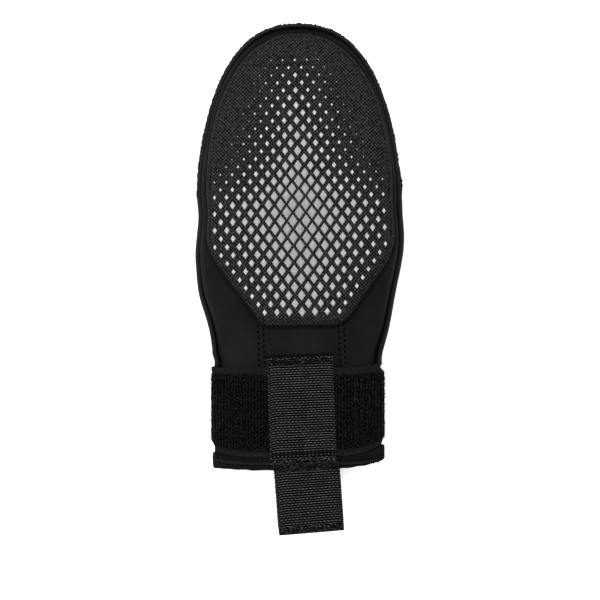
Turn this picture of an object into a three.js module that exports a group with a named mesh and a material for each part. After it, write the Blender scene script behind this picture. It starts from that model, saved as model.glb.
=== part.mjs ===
// A baseball sliding mitt: a stiff padded mitten that covers the hand which reaches for the base.
// It lies palm down with its cuff open towards -Y. +Y runs to the fingertips, +X to the right as
// the wearer sees the back of the hand, and +Z up through the back. All sizes are in millimetres,
// and places along the mitten are counted from the cuff's lower edge.
import * as THREE from "three";

const { clamp, lerp, smoothstep } = THREE.MathUtils;

// Sizes of the neoprene mitten.
const bodyLength = 260;
const handWidth = 116.8;
const handHeight = 37;
const fingerDomeLength = 98.5;
const neopreneWall = 3;
const tipHeight = 15;

// How far the underside would bulge below the surface that flattens it.
const soleSpread = 1.6;

// Gaps that the sewn pieces, the wrapped strap and the thick pad keep to what they lie on.
const seamGap = 0.3;
const wrapGap = 0.35;
const padGap = 0.4;

// Sizes of the overlocked seam that closes the mitten's rim.
const seamWidth = 2;
const seamHeight = 3.4;

// Sizes of the woven pad on the back of the hand.
const padBottom = 82.5;
const padTaperLength = 51.5;
const padSideRim = 3.8;
const padTipRim = 5.9;
const padThickness = 4.5;
const padEdgeThickness = 1.6;
const padBevel = 5;
const padTilt = 1.4;

// Sizes of the cuff's hem, the elastic loop strap and the hook tape under its free end.
const hemHeight = 7.3;
const hemThickness = 1.4;
const strapWidth = 51;
const strapThickness = 1.8;
const strapOverlap = 44;
const strapRampLength = 14;
const hookThickness = 1.2;
const hookWidth = 38;
const hookLength = 34;

// Sizes of the nylon webbing that holds the strap down and ends in a pull tail.
const webWidth = 37.3;
const webThickness = 1.7;
const webSewnLength = 3.7;
const webRampLength = 2.5;
const webOffset = 1;
const webDrift = 2.3;
const tailLength = 36;
const tailDroop = 5.2;
const tailShift = 1.8;
const tailDrift = 2.6;

// The cuff's right side lies a little further up than its left, fading out up the hand.
const cuffLift = 5.5;
const cuffLiftLength = 110;

// Counts of facets.
const straightSteps = 15;
const domeSteps = 12;
const arcSteps = 20;
const padAcrossSteps = 18;
const padTaperSteps = 11;
const padHandSteps = 4;
const padDomeSteps = 13;
const webAcrossSteps = 6;
const tailSteps = 6;

// The mitten's form from the strap's upper edge to the widest part of the fingers; the cuff goes on
// in the form of the first row. along is a share of the length between them; left and right are
// shares of half the hand's width; seam and crown are shares of the hand's height; rise is a share
// of the height that the closed strap lifts the cuff; squareness is the power of the crown's arc,
// which is rounder at the wrist.
const formRows = [
  { along: 0.0, left: 0.822, right: 0.8, seam: 0.54, crown: 0.91, rise: 1.0, squareness: 2.3 },
  { along: 0.08, left: 0.817, right: 0.797, seam: 0.53, crown: 0.935, rise: 0.85, squareness: 2.4 },
  { along: 0.21, left: 0.85, right: 0.857, seam: 0.5, crown: 0.965, rise: 0.4, squareness: 2.6 },
  { along: 0.32, left: 0.9, right: 0.893, seam: 0.48, crown: 0.985, rise: 0.1, squareness: 2.8 },
  { along: 0.43, left: 0.958, right: 0.926, seam: 0.47, crown: 1.0, rise: 0.0, squareness: 3.0 },
  { along: 0.54, left: 0.982, right: 0.966, seam: 0.46, crown: 1.005, rise: 0.0, squareness: 3.1 },
  { along: 0.66, left: 0.995, right: 1.005, seam: 0.46, crown: 1.005, rise: 0.0, squareness: 3.2 },
  { along: 0.78, left: 0.975, right: 1.014, seam: 0.455, crown: 1.0, rise: 0.0, squareness: 3.2 },
  { along: 0.89, left: 0.96, right: 0.995, seam: 0.45, crown: 0.995, rise: 0.0, squareness: 3.2 },
  { along: 1.0, left: 0.985, right: 0.994, seam: 0.445, crown: 0.985, rise: 0.0, squareness: 3.2 },
];

// The pad's outline below the fingers. along is a share of the tapered length from the pad's lower
// edge; left and right are shares of the half width that the mitten gives the pad there.
const padRows = [
  { along: 0.0, left: 0.38, right: 0.45 },
  { along: 0.03, left: 0.44, right: 0.54 },
  { along: 0.08, left: 0.485, right: 0.6 },
  { along: 0.3, left: 0.612, right: 0.73 },
  { along: 0.54, left: 0.77, right: 0.857 },
  { along: 0.74, left: 0.89, right: 0.95 },
  { along: 0.88, left: 0.95, right: 0.985 },
  { along: 1.0, left: 0.985, right: 1.0 },
];

// Powers of the arcs that round the sole across, the fingertips and the pad's tip in plan, and the
// crown and the sole towards the fingertips.
const solePower = 2.7;
const domeSidePower = 1.8;
const domeTipPower = 2.27;
const padTipPower = 2.13;
const crownTipPower = 2;
const soleTipPower = 2.8;

// What follows from the sizes above.
const shellStart = hemThickness + seamGap;
const strapStart = hemHeight + seamGap;
const strapMiddle = strapStart + strapWidth / 2;
const strapEnd = strapStart + strapWidth;
const seamStart = strapEnd + seamGap;
const domeStart = bodyLength - seamWidth - seamGap - fingerDomeLength;
const strapTop = wrapGap + strapThickness;
const strapClosure = seamGap + hookThickness + seamGap + strapThickness;
const cuffRise = strapTop + strapClosure;

const range = (count) => Array.from({ length: count }, (_, i) => i);
const share = (value) => smoothstep(value, 0, 1);
const arc = (value, power) => Math.pow(Math.max(1 - Math.pow(value, power), 0), 1 / power);
const signedPower = (value, power) => Math.sign(value) * Math.pow(Math.abs(value), power);

// A smooth curve through one column of a table, level at both of its ends.
function column(rows, name, along) {
  const next = clamp(rows.findIndex((row) => row.along >= along), 1, rows.length - 1);
  const [a, b] = [rows[next - 1], rows[next]];
  const slope = (i) =>
    i === 0 || i === rows.length - 1
      ? 0
      : (rows[i + 1][name] - rows[i - 1][name]) / (rows[i + 1].along - rows[i - 1].along);
  const span = b.along - a.along;
  const s = (along - a.along) / span;
  const bend = s * (1 - s) * span * ((1 - s) * slope(next - 1) - s * slope(next));
  return lerp(a[name], b[name], share(s)) + bend;
}

// The mitten's cross-section at a distance along it. A positive inset shrinks the section, as for
// the inner face of its wall, and a negative one grows it, as for what wraps round it.
function sectionAt(y, inset = 0) {
  const along = clamp((y - strapEnd) / (domeStart - strapEnd), 0, 1);
  const form = (name) => column(formRows, name, along);
  const reach = clamp((y - domeStart) / (fingerDomeLength - inset), 0, 1);
  const plan = arc(reach, lerp(domeSidePower, domeTipPower, reach));
  const seam = lerp(form("seam") * handHeight, tipHeight, reach);
  const floor = form("rise") * cuffRise + inset;
  return {
    y,
    seam,
    floor,
    left: (form("left") * handWidth * 0.5 - inset) * plan,
    right: (form("right") * handWidth * 0.5 - inset) * plan,
    rise: (form("crown") * handHeight - seam - inset) * arc(reach, crownTipPower),
    drop: (seam - floor + soleSpread) * arc(reach, soleTipPower),
    squareness: form("squareness"),
  };
}

// A point of a section. The angle runs from the right side, over the crown, to the left side, and
// on under the sole.
function sectionPoint(section, angle) {
  const [across, up] = [Math.cos(angle), Math.sin(angle)];
  const power = 2 / (up > 0 ? section.squareness : solePower);
  const x = signedPower(across, power) * (across > 0 ? section.right : section.left);
  const z = section.seam + signedPower(up, power) * (up > 0 ? section.rise : section.drop);
  return new THREE.Vector3(x, section.y, Math.max(z, section.floor));
}

// The height of the mitten's back above a place in plan.
function backHeight(x, y) {
  const section = sectionAt(y);
  const half = x > 0 ? section.right : section.left;
  return section.seam + section.rise * arc(Math.min(Math.abs(x) / half, 1), section.squareness);
}

// Moves a point with the cuff's right side.
function settle(point) {
  const side = Math.max(point.x / (handWidth / 2), 0);
  const fade = Math.max(1 - point.y / cuffLiftLength, 0);
  return point.clone().setY(point.y + cuffLift * (side * fade) ** 2);
}

// Joins rings of as many points each into one closed body. Unless the rings close on themselves,
// strips between the facing points of a ring close both ends. Points that meet are made one.
function sewnMesh(name, material, rings, ringsClose = false) {
  const perRing = rings[0].length;
  const numberOf = new Map();
  const positions = [];
  const numbers = rings.flat().map((point) => {
    const placed = settle(point).toArray();
    const key = placed.map((v) => Math.round(v * 1000)).join();
    if (!numberOf.has(key)) {
      numberOf.set(key, numberOf.size);
      positions.push(...placed);
    }
    return numberOf.get(key);
  });
  const at = (ring, point) => numbers[(ring % rings.length) * perRing + (point % perRing)];
  const faces = [];
  const addQuad = (a, b, c, d) => {
    for (const face of [[a, b, c], [a, c, d]]) {
      if (new Set(face).size === 3) faces.push(...face);
    }
  };
  for (const ring of range(rings.length - (ringsClose ? 0 : 1))) {
    for (const p of range(perRing)) {
      addQuad(at(ring, p), at(ring, p + 1), at(ring + 1, p + 1), at(ring + 1, p));
    }
  }
  if (!ringsClose) {
    const last = rings.length - 1;
    for (const p of range(perRing / 2 - 1)) {
      const facing = perRing - 1 - p;
      addQuad(at(0, facing), at(0, facing - 1), at(0, p + 1), at(0, p));
      addQuad(at(last, p), at(last, p + 1), at(last, facing - 1), at(last, facing));
    }
  }
  const geometry = new THREE.BufferGeometry();
  geometry.setAttribute("position", new THREE.Float32BufferAttribute(positions, 3));
  geometry.setIndex(enclosedVolume(positions, faces) < 0 ? faces.reverse() : faces);
  geometry.computeVertexNormals();
  const mesh = new THREE.Mesh(geometry, material);
  mesh.name = name;
  return mesh;
}

function enclosedVolume(positions, faces) {
  const corner = (i) => new THREE.Vector3().fromArray(positions, faces[i] * 3);
  const sixfold = (face) => corner(3 * face).dot(corner(3 * face + 1).cross(corner(3 * face + 2)));
  return range(faces.length / 3).reduce((sum, face) => sum + sixfold(face) / 6, 0);
}

// Places along the mitten above the strap at which its rings lie, close together at the fingertips.
// reach is the share of the dome's length that a ring lies beyond the place y.
const ringPlaces = [
  ...range(straightSteps).map((i) => ({ y: lerp(seamStart, domeStart, i / straightSteps), reach: 0 })),
  ...range(domeSteps + 1).map((i) => ({
    y: domeStart,
    reach: i === domeSteps ? 1 : Math.sin((i / domeSteps) * (Math.PI / 2)),
  })),
];

// One half of the mitten: a neoprene panel with its outer and inner face and its sewn edges.
function panel(name, material, turn) {
  const cuffPlaces = [shellStart, strapStart, strapMiddle, strapEnd].map((y) => ({ y, reach: 0 }));
  const rings = [...cuffPlaces, ...ringPlaces].map(({ y, reach }) => {
    const face = (inset) => {
      const section = sectionAt(y + reach * (fingerDomeLength - inset), inset);
      const height = Math.max(turn > 0 ? section.rise : section.drop, seamGap);
      return range(arcSteps + 1).map((i) => {
        const point = sectionPoint(section, turn * Math.PI * (i / arcSteps));
        const closeness = 1 - clamp(Math.abs(point.z - section.seam) / height, 0, 1);
        return point.setZ(point.z + (turn * closeness * seamGap) / 2);
      });
    };
    return [...face(0), ...face(neopreneWall).reverse()];
  });
  return sewnMesh(name, material, rings);
}

// The overlocked seam runs round the rim from one side of the cuff to the other.
function seamBinding(material) {
  const profile = [
    { out: 0, up: 0.4 },
    { out: 0.55, up: 0.5 },
    { out: 1, up: 0.2 },
    { out: 1, up: -0.2 },
    { out: 0.55, up: -0.5 },
    { out: 0, up: -0.4 },
  ];
  const ring = ({ y, reach }, side) =>
    profile.map(({ out, up }) => {
      const grown = seamGap + out * seamWidth;
      const section = sectionAt(y + reach * (fingerDomeLength + grown), -grown);
      const x = side > 0 ? section.right : -section.left;
      return new THREE.Vector3(x, section.y, section.seam + up * seamHeight);
    });
  const leftSide = ringPlaces.map((place) => ring(place, -1));
  const rightSide = ringPlaces.slice(0, -1).reverse().map((place) => ring(place, 1));
  return sewnMesh("seam_binding", material, [...leftSide, ...rightSide]);
}

// The pad follows the back of the mitten and is thinnest at its edges.
function backPad(material) {
  const padTip = domeStart + fingerDomeLength - padTipRim;
  const taperEnd = padBottom + padTaperLength;
  const edgesAt = (y) => {
    const section = sectionAt(Math.min(y, domeStart), padSideRim);
    const along = clamp((y - padBottom) / padTaperLength, 0, 1);
    const plan = arc(Math.max((y - domeStart) / (padTip - domeStart), 0), padTipPower);
    return {
      left: -section.left * column(padRows, "left", along) * plan,
      right: section.right * column(padRows, "right", along) * plan,
      tilt: ((1 - along) * padTilt) / handWidth,
    };
  };
  const places = [
    ...range(padTaperSteps).map((i) => lerp(padBottom, taperEnd, (i / padTaperSteps) ** 1.35)),
    ...range(padHandSteps).map((i) => lerp(taperEnd, domeStart, i / padHandSteps)),
    ...range(padDomeSteps + 1).map((i) =>
      lerp(domeStart, padTip, Math.sin((i / padDomeSteps) * (Math.PI / 2))),
    ),
  ];
  const rings = places.map((y) => {
    const { left, right, tilt } = edgesAt(y);
    const lower = range(padAcrossSteps + 1).map((i) => {
      const x = lerp(left, right, (1 - Math.cos(Math.PI * (i / padAcrossSteps))) / 2);
      const place = y + tilt * x;
      return new THREE.Vector3(x, place, backHeight(x, place) + padGap);
    });
    const upper = lower.map((point) => {
      const edge = Math.min(point.x - left, right - point.x, y - padBottom, padTip - y);
      const roundness = Math.sqrt(1 - (1 - clamp(edge / padBevel, 0, 1)) ** 2);
      const thickness = lerp(padEdgeThickness, padThickness, roundness);
      return point.clone().setZ(point.z + thickness);
    });
    return [...upper, ...lower.reverse()];
  });
  return sewnMesh("back_pad", material, rings);
}

// The angle of the point under the cuff's sole that lies at x.
function soleAngle(x) {
  const section = sectionAt(strapMiddle);
  const across = Math.pow(Math.abs(x) / (x > 0 ? section.right : section.left), solePower / 2);
  return x > 0 ? 2 * Math.PI - Math.acos(across) : Math.PI + Math.acos(across);
}

// Points of a band's inner and outer face across its width, at one angle round the cuff.
function bandRing(angle, from, to, inner, thickness) {
  const face = (grown) =>
    [0, 0.5, 1].map((i) => sectionPoint(sectionAt(lerp(from, to, i), -grown), angle));
  return [...face(inner), ...face(inner + thickness).reverse()];
}

// The elastic strap starts under the sole, goes once round the cuff and closes over its own start.
function wristStrap(material) {
  const start = -strapOverlap / 2;
  const rampStart = start - seamGap - strapRampLength;
  const firstAngle = soleAngle(start);
  const lastAngle = soleAngle(-start) + 2 * Math.PI;
  const rampAngle = soleAngle(rampStart) + 2 * Math.PI;
  const step = Math.PI / arcSteps;
  const between = range(3 * arcSteps)
    .map((i) => Math.PI + i * step)
    .filter((angle) => angle > firstAngle + step / 4 && angle < lastAngle - step / 4);
  const rings = [firstAngle, ...between, lastAngle].map((angle) => {
    const x = sectionPoint(sectionAt(strapMiddle), angle).x;
    const climb = angle > rampAngle ? share((x - rampStart) / strapRampLength) : 0;
    return bandRing(angle, strapStart, strapEnd, wrapGap + climb * strapClosure, strapThickness);
  });
  return sewnMesh("wrist_strap", material, rings);
}

// The hook tape lies between the strap's free end and its start.
function hookPatch(material) {
  const [from, to] = [strapMiddle - hookWidth / 2, strapMiddle + hookWidth / 2];
  const rings = range(5).map((i) => {
    const angle = soleAngle(lerp(-hookLength / 2, hookLength / 2, i / 4));
    return bandRing(angle, from, to, strapTop + seamGap, hookThickness);
  });
  return sewnMesh("hook_patch", material, rings);
}

// The hem folds round the cuff's raw edge, outside and inside.
function cuffHem(material) {
  const outside = seamGap + hemThickness;
  const inside = neopreneWall + seamGap;
  const roundness = hemThickness / 2;
  const profile = [
    { y: hemHeight, inset: -seamGap },
    { y: hemHeight, inset: -outside },
    { y: roundness, inset: -outside },
    { y: 0, inset: roundness - outside },
    { y: 0, inset: inside + roundness },
    { y: roundness, inset: inside + hemThickness },
    { y: hemHeight, inset: inside + hemThickness },
    { y: hemHeight, inset: inside },
    { y: hemThickness, inset: inside },
    { y: hemThickness, inset: -seamGap },
  ];
  const rings = range(2 * arcSteps).map((i) =>
    profile.map(({ y, inset }) => sectionPoint(sectionAt(y, inset), Math.PI * (i / arcSteps))),
  );
  return sewnMesh("cuff_hem", material, rings, true);
}

// The webbing is sewn on above the strap, bridges it, is sewn to the hem and hangs on as a tail.
function pullWeb(material) {
  const rampTop = seamStart + webRampLength;
  const top = rampTop + webSewnLength;
  const overStrap = strapTop + seamGap;
  const overHem = seamGap + hemThickness + seamGap;
  const hemStepEnd = strapStart - (webWidth * webDrift) / top;
  const lift = (y) => {
    const bridge = lerp(seamGap, overStrap, share((rampTop - y) / webRampLength));
    return lerp(bridge, overHem, share(1 - y / hemStepEnd));
  };
  const centre = (y) =>
    webOffset +
    (webDrift * (top - Math.max(y, 0))) / top +
    tailShift * share(1 - y / strapStart) +
    (tailDrift * Math.max(-y, 0)) / tailLength;
  const places = [
    ...range(2).map((i) => lerp(top, rampTop, i / 2)),
    ...range(4).map((i) => lerp(rampTop, seamStart, i / 4)),
    strapEnd,
    strapMiddle,
    strapStart,
    ...range(3).map((i) => lerp(hemStepEnd, 0, i / 3)),
    ...range(tailSteps + 1).map((i) => (-tailLength * i) / tailSteps),
  ];
  const rings = places.map((y) => {
    const [x, place] = [centre(y), Math.max(y, 0)];
    const past = Math.max(-y, 0) / tailLength;
    const slope = lerp(-webDrift / top, -tailDrift / tailLength, share(past));
    const droop = tailDroop * past * lerp(0.3, 1, past);
    const face = (height) =>
      range(webAcrossSteps + 1).map((i) => {
        const across = lerp(-webWidth / 2, webWidth / 2, i / webAcrossSteps);
        const z = lerp(backHeight(x + across, place), backHeight(x, place), share(past));
        return new THREE.Vector3(x + across, y - slope * across, z + lift(place) - droop + height);
      });
    return [...face(0), ...face(webThickness).reverse()];
  });
  return sewnMesh("pull_web", material, rings);
}

const fabric = (color, roughness) =>
  new THREE.MeshStandardMaterial({ color, roughness, metalness: 0 });
const neoprene = fabric(0x1f1f20, 0.85);
const wovenNylon = fabric(0x2e2e2f, 0.7);
const loopPile = fabric(0x0d0d0e, 1);
const hookTape = fabric(0x161617, 0.9);
const thread = fabric(0x1b1b1c, 0.8);
const nylonWebbing = fabric(0x353536, 0.6);

const mitt = new THREE.Group();
mitt.add(
  panel("back_panel", neoprene, 1),
  panel("palm_panel", neoprene, -1),
  seamBinding(thread),
  backPad(wovenNylon),
  cuffHem(neoprene),
  wristStrap(loopPile),
  hookPatch(hookTape),
  pullWeb(nylonWebbing),
);

// The group's origin lies under the middle of the whole mitt, on the surface that it lies on.
const extent = new THREE.Box3().setFromObject(mitt, true);
const middle = extent.getCenter(new THREE.Vector3());
mitt.position.set(-middle.x, -middle.y, -extent.min.z);

export default mitt;
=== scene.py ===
import math

import bpy
import numpy as np
from mathutils import Matrix, Vector
from mathutils.bvhtree import BVHTree
from mathutils.geometry import convex_hull_2d
from mathutils.kdtree import KDTree


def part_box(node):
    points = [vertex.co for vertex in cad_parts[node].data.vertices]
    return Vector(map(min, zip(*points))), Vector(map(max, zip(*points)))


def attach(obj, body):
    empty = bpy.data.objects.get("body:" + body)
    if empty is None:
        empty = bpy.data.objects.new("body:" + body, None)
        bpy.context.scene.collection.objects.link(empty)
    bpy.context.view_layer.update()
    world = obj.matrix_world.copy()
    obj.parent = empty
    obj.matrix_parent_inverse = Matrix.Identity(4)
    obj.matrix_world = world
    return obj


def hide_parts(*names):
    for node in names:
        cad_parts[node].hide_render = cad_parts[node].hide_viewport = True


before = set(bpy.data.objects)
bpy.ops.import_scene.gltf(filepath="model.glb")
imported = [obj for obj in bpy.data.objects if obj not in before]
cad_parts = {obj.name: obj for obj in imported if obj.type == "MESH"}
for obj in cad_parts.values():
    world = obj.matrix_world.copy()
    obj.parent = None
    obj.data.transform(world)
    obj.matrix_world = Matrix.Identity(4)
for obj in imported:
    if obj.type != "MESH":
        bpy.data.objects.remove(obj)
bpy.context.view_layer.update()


# The photo looks straight down on the back of the mitt, with the fingertips up. At the height of
# the mitt's side seam the picture is 349.5 mm wide, and its middle lies 13.8 mm below the middle
# of the mitt's length.
mm = 0.001
picture_pixels = 600
picture_width = 349.5 * mm
seam_height = 20 * mm
view_distance = 680 * mm
sensor_width = 36
picture_middle = Vector((0.43 * mm, -13.83 * mm, seam_height))

bpy.ops.object.camera_add(location=picture_middle + Vector((0, 0, view_distance)))
camera = bpy.context.object
camera.name = "photo_camera"
camera.data.sensor_width = sensor_width
camera.data.lens = sensor_width * view_distance / picture_width
bpy.context.scene.camera = camera
bpy.context.scene.view_settings.view_transform = "Standard"


# The floor is a pale matt sheet, faintly lit from behind as for a catalogue picture. The studio is
# white, with a wide soft box overhead and a little to the left, and a weaker one along each side.
def tone(hex_colour):
    """The linear colour of an sRGB hex value."""
    parts = [int(hex_colour[i:i + 2], 16) / 255 for i in (1, 3, 5)]
    return [p / 12.92 if p <= 0.04045 else ((p + 0.055) / 1.055) ** 2.4 for p in parts] + [1]


def add_node(tree, kind, settings=None, links=None, stops=()):
    """Adds a shader node, with its properties, inputs and links, and a ramp's colour stops.

    A link from a node, and not from one of its outputs, starts at its first output.
    """
    made = tree.nodes.new("ShaderNode" + kind)
    for name, value in (settings or {}).items():
        if isinstance(name, int) or name in made.inputs:
            made.inputs[name].default_value = value
        else:
            setattr(made, name, value)
    for name, source in (links or {}).items():
        output = source.outputs[0] if isinstance(source, bpy.types.Node) else source
        tree.links.new(output, made.inputs[name])
    for i, (position, hex_colour) in enumerate(stops):
        stop = made.color_ramp.elements[i] if i < 2 else made.color_ramp.elements.new(position)
        stop.position = position
        stop.color = tone(hex_colour)
    return made


def new_material(name, **shader_settings):
    """A material with a Principled shader. Gives the material, its node tree and the shader."""
    material = bpy.data.materials.new(name)
    material.use_nodes = True
    tree = material.node_tree
    shader = tree.nodes["Principled BSDF"]
    for setting, value in shader_settings.items():
        shader.inputs[setting.replace("_", " ")].default_value = value
    return material, tree, shader


floor_size = 6
floor_gap = 0.2 * mm
bpy.ops.mesh.primitive_plane_add(size=floor_size, location=(0, 0, -floor_gap))
floor = bpy.context.object
floor.name = "floor"
floor_sheet, _, _ = new_material(
    "Matt white sheet lit from behind",
    Base_Color=tone("#fafafa"),
    Roughness=0.9,
    Emission_Color=tone("#ffffff"),
    Emission_Strength=0.3,
)
floor.data.materials.append(floor_sheet)

world = bpy.data.worlds.new("white studio")
bpy.context.scene.world = world
world.use_nodes = True
world.node_tree.nodes["Background"].inputs["Color"].default_value = tone("#ffffff")
world.node_tree.nodes["Background"].inputs["Strength"].default_value = 0.8

soft_boxes = [
    {"name": "overhead_box", "place": (-0.3, 0.3, 1.5), "size": 1.5, "watts": 28},
    {"name": "left_box", "place": (-1.2, 0.2, 0.8), "size": 0.7, "watts": 4.5},
    {"name": "right_box", "place": (1.2, 0.1, 0.8), "size": 0.7, "watts": 0.8},
]
for box in soft_boxes:
    bpy.ops.object.light_add(type="AREA", location=box["place"])
    light = bpy.context.object
    light.name = box["name"]
    light.data.shape = "SQUARE"
    light.data.size = box["size"]
    light.data.energy = box["watts"]
    light.rotation_euler = (-light.location).to_track_quat("-Z", "Y").to_euler()


# The mitten itself is two panels of 3 mm neoprene foam faced with nylon jersey, cut to the shape
# of a flat hand. The back panel is drawn in where the pad is sewn on, and rolls up beside it.
def select_only(obj):
    """Selects one object, and makes it the one that operators act on."""
    bpy.ops.object.select_all(action="DESELECT")
    bpy.context.view_layer.objects.active = obj
    obj.select_set(True)


def soft_copy(node, name, levels, firmness=0.0, cuts=()):
    """A smooth copy of a CAD node's mesh, which it replaces. Firm edges round off less."""
    piece = bpy.data.objects.new(name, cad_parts[node].data.copy())
    bpy.context.collection.objects.link(piece)
    select_only(piece)
    piece.data.materials.clear()
    bpy.ops.mesh.customdata_custom_splitnormals_clear()
    bpy.ops.object.mode_set(mode="EDIT")
    bpy.ops.mesh.select_all(action="SELECT")
    bpy.ops.mesh.remove_doubles(threshold=0.02 * mm)
    widest_turn = math.radians(70)
    bpy.ops.mesh.tris_convert_to_quads(face_threshold=widest_turn, shape_threshold=widest_turn)
    for y in cuts:
        bpy.ops.mesh.select_all(action="SELECT")
        bpy.ops.mesh.bisect(plane_co=(0, y, 0), plane_no=(0, 1, 0))
    if firmness:
        bpy.ops.mesh.select_all(action="DESELECT")
        bpy.ops.mesh.select_mode(type="EDGE")
        bpy.ops.mesh.edges_select_sharp(sharpness=math.radians(50))
        bpy.ops.transform.edge_crease(value=firmness)
    bpy.ops.object.mode_set(mode="OBJECT")
    smooth = piece.modifiers.new("smooth_form", "SUBSURF")
    smooth.levels = levels
    smooth.render_levels = levels
    bpy.ops.object.modifier_apply(modifier=smooth.name)
    bpy.ops.object.shade_smooth()
    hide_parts(node)
    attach(piece, "root")
    return piece


def points_of(obj):
    """The places and normals of an object's points, as two tables."""
    count = len(obj.data.vertices)
    places = np.empty(count * 3)
    normals = np.empty(count * 3)
    obj.data.vertices.foreach_get("co", places)
    obj.data.vertices.foreach_get("normal", normals)
    return places.reshape(-1, 3), normals.reshape(-1, 3)


def set_places(obj, places):
    """Sets the places of an object's points, none of them below the floor."""
    places[:, 2] = np.maximum(places[:, 2], 0)
    obj.data.vertices.foreach_set("co", places.astype(np.float32).ravel())
    obj.data.update()


def move_points(obj, moves):
    """Moves an object's points along their normals by the distances given."""
    places, normals = points_of(obj)
    set_places(obj, places + normals * moves[:, None])


def shade_points(obj, name, values):
    """Stores a number at each of an object's points, for its material to read."""
    if name not in obj.data.attributes:
        obj.data.attributes.new(name, "FLOAT", "POINT")
    obj.data.attributes[name].data.foreach_set("value", np.asarray(values, np.float32))


def ridge(distance, middle, width):
    """A smooth bump of height 1 at a distance, fading to 0 within about twice the width."""
    return np.exp(-(((distance - middle) / width) ** 2))


def rise(distance, start, length):
    """A share that is 0 up to a start and rises evenly to 1 over a length past it."""
    return np.clip((distance - start) / length, 0, 1)


def unevenness(places, wave_length, seed):
    """A smooth uneven field between about -1 and 1, with hollows about a wave length apart."""
    random = np.random.default_rng(seed)
    field = np.zeros(len(places))
    for _ in range(9):
        direction = random.normal(size=3)
        direction /= np.linalg.norm(direction)
        stretch = random.uniform(0.7, 1.4)
        phase = random.uniform(0, 2 * math.pi)
        field += np.sin(places @ direction * (2 * math.pi * stretch / wave_length) + phase)
    return field / 4


pad_places, _ = points_of(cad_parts["back_pad"])
pad_plan = [Vector(p[:2]) for p in pad_places]
pad_outline = np.array([pad_plan[i] for i in convex_hull_2d(pad_plan)])
outline_edges = np.roll(pad_outline, -1, axis=0) - pad_outline
outline_lengths = np.linalg.norm(outline_edges, axis=1)
kept = outline_lengths > 0.01 * mm
outline_starts = pad_outline[kept]
outline_ways = outline_edges[kept] / outline_lengths[kept, None]
outward = np.stack([outline_ways[:, 1], -outline_ways[:, 0]], axis=1)
if ((outline_starts - outline_starts.mean(axis=0)) * outward).sum() < 0:
    outward = -outward


def beyond_pad(places):
    """How far points lie outside the pad's outline in plan; negative is inside."""
    reach = places[:, :2] @ outward.T - (outline_starts * outward).sum(axis=1)
    return reach.max(axis=1)


# Jersey over foam is soft and matt, with a knit too fine to count: it shows as a faint grain.
jersey_grain = 0.9 * mm
neoprene, tree, shader = new_material(
    "Neoprene foam faced with nylon jersey",
    Roughness=0.8,
    Specular_IOR_Level=0.05,
)
place = add_node(tree, "TexCoord")
grain = add_node(
    tree, "TexNoise", {"Scale": 1 / jersey_grain, "Detail": 4}, {"Vector": place.outputs["Object"]}
)
cloud = add_node(
    tree, "TexNoise", {"Scale": 1 / (24 * mm), "Detail": 3}, {"Vector": place.outputs["Object"]}
)
blend = add_node(tree, "Math", {"operation": "MULTIPLY_ADD", 1: 0.5}, {0: grain, 2: cloud})
ramp = add_node(tree, "ValToRGB", {}, {"Fac": blend}, [(0.45, "#080808"), (1.0, "#131313")])
bump = add_node(tree, "Bump", {"Strength": 0.5, "Distance": 0.12 * mm}, {"Height": grain})
# Where a piece marks its points, its jersey is painted near-black: painted shade in furrows, creases
# and at edges.
painted_shade_attribute = add_node(tree, "Attribute", {"attribute_name": "painted_shade"})
shaded = add_node(
    tree,
    "Mix",
    {"data_type": "RGBA", 7: tone("#020202")},
    {"Factor": painted_shade_attribute.outputs["Fac"], 6: ramp},
)
tree.links.new(shaded.outputs[2], shader.inputs["Base Color"])
tree.links.new(bump.outputs["Normal"], shader.inputs["Normal"])

# Each zigzag line's place at the pad and at the strap.
seam_lines = {"left": (-22.0 * mm, -21.1 * mm), "right": (24.0 * mm, 25.0 * mm)}
pad_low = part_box("back_pad")[0].y
strap_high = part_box("wrist_strap")[1].y

pad_seam_depth = 0.9 * mm
zigzag_depth = 0.3 * mm
wrinkle_height = 0.2 * mm

mitten_back = soft_copy("back_panel", "mitten_back", 3)
places, normals = points_of(mitten_back)
facing_up = np.clip(normals[:, 2] * 3, 0, 1)
past = beyond_pad(places)
depth = -pad_seam_depth * ridge(past, 0.2 * mm, 1.5 * mm)
depth -= pad_seam_depth * rise(-past, 0, 2 * mm)
between = (places[:, 1] < pad_low) & (places[:, 1] > strap_high)
for line in seam_lines.values():
    depth -= zigzag_depth * ridge(places[:, 0], sum(line) / 2, 1.8 * mm) * between
wrist = ridge(places[:, 1], (pad_low + strap_high) / 2, 30 * mm)
depth += wrinkle_height * wrist * unevenness(places, 26 * mm, 3)
move_points(mitten_back, depth * facing_up)
mitten_back.data.materials.append(neoprene)

mitten_palm = soft_copy("palm_panel", "mitten_palm", 2)
mitten_palm.data.materials.append(neoprene)


# The panels' edges are joined by a rounded seam. Round the fingers it is overlocked, wrapped by
# close turns of black polyester thread, which make the mitt's outline there finely toothed.

# Spun thread is matt, and its fibres break up what light it takes.
thread_black, tree, shader = new_material(
    "Spun polyester sewing thread",
    Base_Color=tone("#040404"),
    Roughness=0.6,
    Specular_IOR_Level=0.03,
)
place = add_node(tree, "TexCoord")
fibres = add_node(
    tree, "TexNoise", {"Scale": 1 / (0.4 * mm), "Detail": 3}, {"Vector": place.outputs["Object"]}
)
bump = add_node(tree, "Bump", {"Strength": 0.4, "Distance": 0.05 * mm}, {"Height": fibres})
tree.links.new(bump.outputs["Normal"], shader.inputs["Normal"])

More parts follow.
